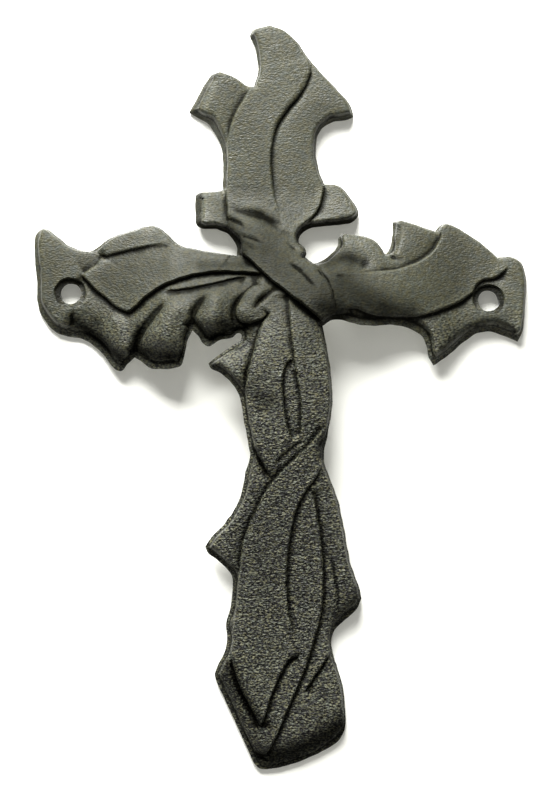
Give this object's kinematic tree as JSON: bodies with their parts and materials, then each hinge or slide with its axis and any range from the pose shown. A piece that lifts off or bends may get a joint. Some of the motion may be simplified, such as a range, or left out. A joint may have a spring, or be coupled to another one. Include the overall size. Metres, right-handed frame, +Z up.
{
  "type": "cast iron wall cross",
  "caption": "Bowed wall cross cast in one piece as overlapping leaves and knotted drapery, with a screw hole near the end of each arm.",
  "frame": {"origin": "on the wall plane behind the cross, midway between the two screw holes", "axes": "+X to the right seen from the front, through both screw holes; +Y into the wall; +Z up along the stem"},
  "size_m": [0.1347, 0.0192, 0.2031],
  "materials": {
    "iron": "dark olive-grey iron, semi-matt, with the sandy grain of the casting and brighter rubbed edges"
  },
  "bodies": {
    "root": {"cross": "iron"}
  },
  "joints": []
}
